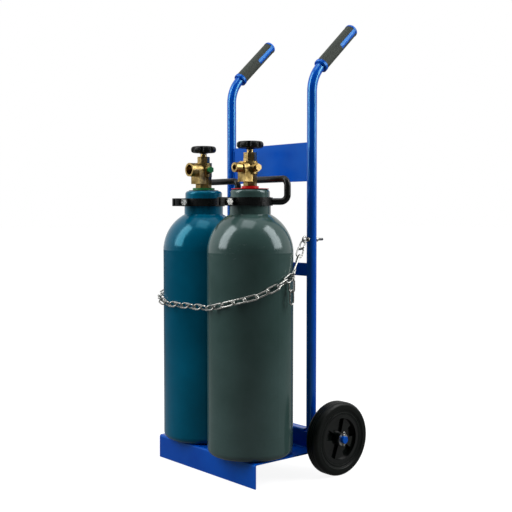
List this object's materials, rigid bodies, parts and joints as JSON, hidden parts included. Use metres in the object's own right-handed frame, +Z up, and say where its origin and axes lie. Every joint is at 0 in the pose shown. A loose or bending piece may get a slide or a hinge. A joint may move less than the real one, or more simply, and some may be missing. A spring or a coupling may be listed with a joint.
{
  "type": "gas cylinder trolley",
  "caption": "Hand trolley of bent steel tube with a folded foot tray and spoked wheels, loaded with chained gas cylinders that have brass valves and carrying handles.",
  "frame": {"origin": "on the floor, at the centre of the bounding box's footprint", "axes": "+X to the right of a person who stands in front of the load and looks at it; +Y to the back, where the wheels and hand grips are; +Z up"},
  "size_m": [0.4426, 0.3663, 0.9655],
  "materials": {
    "frame_paint": "gloss paint",
    "grip_plastic": "moulded",
    "grip_rubber": "soft, lightly textured",
    "zinc_steel": "zinc plated",
    "tyre": "matt",
    "rim_plastic": "satin",
    "bush_plastic": "satin",
    "teal_paint": "gloss paint",
    "grey_paint": "gloss paint",
    "teal_tag": "satin",
    "grey_tag": "satin",
    "teal_seal": "gloss",
    "grey_seal": "gloss",
    "brass": "machined",
    "handle_paint": "satin paint",
    "handwheel_plastic": "gloss"
  },
  "bodies": {
    "frame": {"left_upright": "frame_paint", "right_upright": "frame_paint", "top_plate": "frame_paint", "mid_bar": "frame_paint", "base_tray": "frame_paint", "axle": "frame_paint", "left_grip_core": "grip_plastic", "right_grip_core": "grip_plastic", "left_grip_sleeve": "grip_rubber", "right_grip_sleeve": "grip_rubber", "eye_bolts": "zinc_steel", "eye_bolt_nuts": "zinc_steel", "chain": "zinc_steel", "chain_hook": "zinc_steel", "chain_tail": "zinc_steel", "axle_spacers": "zinc_steel", "axle_washers": "zinc_steel", "cotter_pins": "zinc_steel"},
    "left_wheel": {"left_tyre": "tyre", "left_rim": "rim_plastic", "left_bush": "bush_plastic"},
    "right_wheel": {"right_tyre": "tyre", "right_rim": "rim_plastic", "right_bush": "bush_plastic"},
    "teal_cylinder": {"teal_shell": "teal_paint", "teal_neck_ring": "teal_paint", "teal_tag_disc": "teal_tag", "teal_seal_ring": "teal_seal", "teal_valve_body": "brass", "teal_bonnet": "brass", "teal_safety_plug": "teal_seal", "teal_handle_band": "handle_paint", "teal_handle_bail": "handle_paint", "teal_handle_bolt": "zinc_steel"},
    "teal_handwheel_set": {"teal_spindle": "brass", "teal_handwheel": "handwheel_plastic", "teal_handwheel_nut": "zinc_steel"},
    "grey_cylinder": {"grey_shell": "grey_paint", "grey_neck_ring": "grey_paint", "grey_tag_disc": "grey_tag", "grey_seal_ring": "grey_seal", "grey_valve_body": "brass", "grey_bonnet": "brass", "grey_safety_plug": "brass", "grey_handle_band": "handle_paint", "grey_handle_bail": "handle_paint", "grey_handle_bolt": "zinc_steel"},
    "grey_handwheel_set": {"grey_spindle": "brass", "grey_handwheel": "handwheel_plastic", "grey_handwheel_nut": "zinc_steel"}
  },
  "joints": [
    {"name": "left_wheel_spin", "type": "hinge", "parent": "frame", "child": "left_wheel", "pos_m": [-0.195, 0.07225, 0.078], "axis": [1, 0, 0], "continuous": true},
    {"name": "right_wheel_spin", "type": "hinge", "parent": "frame", "child": "right_wheel", "pos_m": [0.195, 0.07225, 0.078], "axis": [1, 0, 0], "continuous": true},
    {"name": "teal_cylinder_lift", "type": "slide", "parent": "frame", "child": "teal_cylinder", "axis": [0, 0, 1], "range_m": [0, 0.45]},
    {"name": "teal_valve_turn", "type": "hinge", "parent": "teal_cylinder", "child": "teal_handwheel_set", "pos_m": [-0.0905, -0.0634, 0.69], "axis": [0, 0, 1], "range_deg": [0, 540]},
    {"name": "grey_cylinder_lift", "type": "slide", "parent": "frame", "child": "grey_cylinder", "axis": [0, 0, 1], "range_m": [0, 0.45]},
    {"name": "grey_valve_turn", "type": "hinge", "parent": "grey_cylinder", "child": "grey_handwheel_set", "pos_m": [0.0905, -0.0794, 0.69], "axis": [0, 0, 1], "range_deg": [0, 540]}
  ]
}
